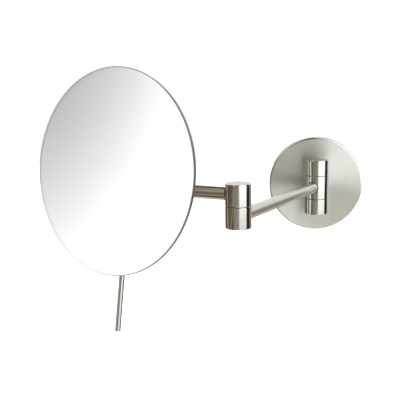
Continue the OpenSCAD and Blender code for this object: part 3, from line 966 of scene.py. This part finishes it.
def card_group():
    """A soft-edged card of light, from its bearing and height as seen from the object."""
    group, start, end = new_group(
        "Light card",
        [(label, "Float", 0.0) for label in
         ("Bearing", "Height", "Centre", "Level", "Half width", "Half height", "Tilt", "Softness")],
        [("Mask", "Float")])
    given = start.outputs
    across = math_node(group, "WRAP", math_node(group, "SUBTRACT", given["Bearing"], given["Centre"]),
                       math.pi, -math.pi)
    above = math_node(group, "SUBTRACT", given["Height"], given["Level"])
    cosine, sine = math_node(group, "COSINE", given["Tilt"]), math_node(group, "SINE", given["Tilt"])
    wide = math_node(group, "ADD", math_node(group, "MULTIPLY", across, cosine),
                     math_node(group, "MULTIPLY", above, sine))
    tall = math_node(group, "SUBTRACT", math_node(group, "MULTIPLY", above, cosine),
                     math_node(group, "MULTIPLY", across, sine))
    masks = []
    for value, half in ((wide, "Half width"), (tall, "Half height")):
        inside = math_node(group, "SUBTRACT", given[half], math_node(group, "ABSOLUTE", value))
        ratio = math_node(group, "DIVIDE", inside, given["Softness"])
        masks.append(math_node(group, "ADD", ratio, 0.5, clamp=True))
    group.links.new(math_node(group, "MULTIPLY", *masks), end.inputs["Mask"])
    return group


# Each card: bearing from straight ahead (right is positive), level, half width, half height,
# tilt and softness in degrees, then its light. Later cards lie over earlier ones.
CARDS = (
    (-12, -14, 28, 26, 0, 18, (0.35, 0.345, 0.31)),         # front room
    (-52, 42, 24, 30, 0, 14, (1.70, 1.68, 1.62)),           # front, high
    (30, -50, 50, 27, 0, 14, (1.62, 1.61, 1.53)),           # front, low
    (-36, 5, 24, 5, -20, 5, (0.03, 0.018, 0.006)),          # front, brown band
    (180, -52, 80, 24, 0, 8, (0.85, 0.82, 0.76)),           # wall, floor
    (180, -10, 80, 18, 0, 6, (0.17, 0.120, 0.075)),         # wall, below
    (140, -32, 22, 12, 0, 8, (0.62, 0.60, 0.56)),           # wall, floor glow
    (180, 11, 66, 6, 0, 4, (0.76, 0.84, 0.88)),             # wall, just above
    (180, 24, 60, 12, 0, 6, (1.30, 1.33, 1.32)),            # wall, above
    (140, 26, 20, 14, 0, 14, (1.10, 1.10, 1.06)),           # wall, window
    (137, -2, 19, 11, 0, 8, (0.50, 0.47, 0.42)),            # wall, side
    (-84, 0, 7, 90, 0, 3, (0.02, 0.015, 0.01)),             # left flag
    (-98, 0, 9, 90, 0, 6, (0.75, 0.73, 0.67)),              # left strip
    (-75.7, 4, 2.7, 22, 0, 1.2, (0.49, 0.475, 0.483)),      # left window, shaded
    (-66.5, 2, 9, 22, -7.2, 2.6, (1.14, 1.14, 1.14)),       # left window
    (44, 27, 34, 39, 0, 12, (2.50, 2.70, 2.80)),            # main softbox
    (2, 17, 15, 11, 0, 8, (0.05, 0.035, 0.02)),             # shade round the camera
    (94, 0, 15, 90, 0, 4, (0.015, 0.013, 0.012)),           # black flag
)
ROOM_LIGHT = (0.13, 0.105, 0.075)
CEILING_LIGHT = (0.10, 0.085, 0.065)


class MIRROR_OT_stage(bpy.types.Operator):
    """Builds the pale floor, the studio light and the camera"""
    bl_idname = "mirror.stage"
    bl_label = "Stage"

    def execute(self, context):
        self.make_world(context)
        self.make_floor()
        self.make_camera(context)
        context.scene.view_settings.view_transform = "Standard"
        return {"FINISHED"}

    def make_world(self, context):
        world = bpy.data.worlds.new("studio")
        context.scene.world = world
        world.use_nodes = True
        tree = world.node_tree
        tree.nodes.clear()
        place = tree.nodes.new("ShaderNodeTexCoord")
        split = tree.nodes.new("ShaderNodeSeparateXYZ")
        tree.links.new(place.outputs["Generated"], split.inputs[0])
        ahead = math_node(tree, "MULTIPLY", split.outputs["Y"], -1.0)
        bearing = math_node(tree, "ARCTAN2", split.outputs["X"], ahead)
        height = math_node(tree, "ARCSINE", split.outputs["Z"])
        group = card_group()

        def card_mask(*angles):
            node = tree.nodes.new("ShaderNodeGroup")
            node.node_tree = group
            tree.links.new(bearing, node.inputs["Bearing"])
            tree.links.new(height, node.inputs["Height"])
            labels = ("Centre", "Level", "Half width", "Half height", "Tilt", "Softness")
            for label, value in zip(labels, angles):
                node.inputs[label].default_value = math.radians(value)
            return node.outputs["Mask"]

        def layer(below, mask, colour):
            mix = tree.nodes.new("ShaderNodeMix")
            mix.data_type = "RGBA"
            tree.links.new(mask, mix.inputs["Factor"])
            tree.links.new(below, mix.inputs["A"])
            mix.inputs["B"].default_value = (*colour, 1.0)
            return mix.outputs["Result"]

        up = tree.nodes.new("ShaderNodeMapRange")
        up.inputs["From Min"].default_value = 0.15
        up.inputs["From Max"].default_value = 1.0
        tree.links.new(split.outputs["Z"], up.inputs["Value"])
        light = blend_colour(tree, up.outputs["Result"], ROOM_LIGHT, CEILING_LIGHT)
        for *card, colour in CARDS:
            light = layer(light, card_mask(*card), colour)
        path = tree.nodes.new("ShaderNodeLightPath")
        seen = layer(light, path.outputs["Is Camera Ray"], (1.0, 1.0, 1.0))
        glow = tree.nodes.new("ShaderNodeBackground")
        tree.links.new(seen, glow.inputs["Color"])
        out = tree.nodes.new("ShaderNodeOutputWorld")
        tree.links.new(glow.outputs["Background"], out.inputs["Surface"])

    def make_floor(self):
        work = bmesh.new()
        bmesh.ops.create_grid(work, x_segments=1, y_segments=1, size=FLOOR_HALF)
        bmesh.ops.translate(work, vec=(0, 0, -FLOOR_DROP), verts=work.verts)
        mesh = bpy.data.meshes.new("floor")
        work.to_mesh(mesh)
        work.free()
        floor = bpy.data.objects.new("floor", mesh)
        bpy.context.scene.collection.objects.link(floor)
        pale, tree, shader = new_material("pale floor")
        place = tree.nodes.new("ShaderNodeTexCoord")
        cloud = noise(tree, place.outputs["Object"], 3.0, 4.0, 0.5)
        tree.links.new(blend_colour(tree, cloud, (0.80, 0.80, 0.80), (0.84, 0.84, 0.84)),
                       shader.inputs["Base Color"])
        shader.inputs["Roughness"].default_value = 0.6
        shader.inputs["Emission Color"].default_value = (1.0, 1.0, 1.0, 1.0)
        path = tree.nodes.new("ShaderNodeLightPath")
        tree.links.new(path.outputs["Is Camera Ray"], shader.inputs["Emission Strength"])
        mesh.materials.append(pale)
        floor.visible_glossy = False

    def make_camera(self, context):
        data = bpy.data.cameras.new("camera")
        camera = bpy.data.objects.new("camera", data)
        context.scene.collection.objects.link(camera)
        look = Vector((math.sin(YAW) * math.cos(PITCH), math.cos(YAW) * math.cos(PITCH), -math.sin(PITCH)))
        camera.location = Vector(EYE)
        camera.rotation_euler = look.to_track_quat("-Z", "Y").to_euler()
        data.sensor_width = SENSOR
        data.lens = LENS
        data.shift_x = SHIFT_X
        data.shift_y = SHIFT_Y
        context.scene.camera = camera


class MIRROR_PT_panel(bpy.types.Panel):
    """Lists the steps that build the mirror"""
    bl_idname = "MIRROR_PT_panel"
    bl_label = "Shaving Mirror"
    bl_space_type = "VIEW_3D"
    bl_region_type = "UI"
    bl_category = "Shaving Mirror"

    def draw(self, context):
        for group in (context.scene.mirror_sizes, context.scene.mirror_colours):
            for name in type(group).__annotations__:
                self.layout.prop(group, name)
        for step in STEPS:
            self.layout.operator(step.bl_idname)


STEPS = (
    MIRROR_OT_frame_finish, MIRROR_OT_wall_plate, MIRROR_OT_post, MIRROR_OT_knuckles, MIRROR_OT_rods,
    MIRROR_OT_swivel, MIRROR_OT_glass, MIRROR_OT_handle, MIRROR_OT_fasteners, MIRROR_OT_stage,
)
CLASSES = (MirrorSizes, MirrorColours, *STEPS, MIRROR_PT_panel)


def register():
    for cls in CLASSES:
        bpy.utils.register_class(cls)
    bpy.types.Scene.mirror_sizes = bpy.props.PointerProperty(type=MirrorSizes)
    bpy.types.Scene.mirror_colours = bpy.props.PointerProperty(type=MirrorColours)


def unregister():
    del bpy.types.Scene.mirror_colours
    del bpy.types.Scene.mirror_sizes
    for cls in reversed(CLASSES):
        bpy.utils.unregister_class(cls)


def main():
    register()
    for step in STEPS:
        space, name = step.bl_idname.split(".")
        getattr(getattr(bpy.ops, space), name)()


if __name__ == "__main__":
    main()
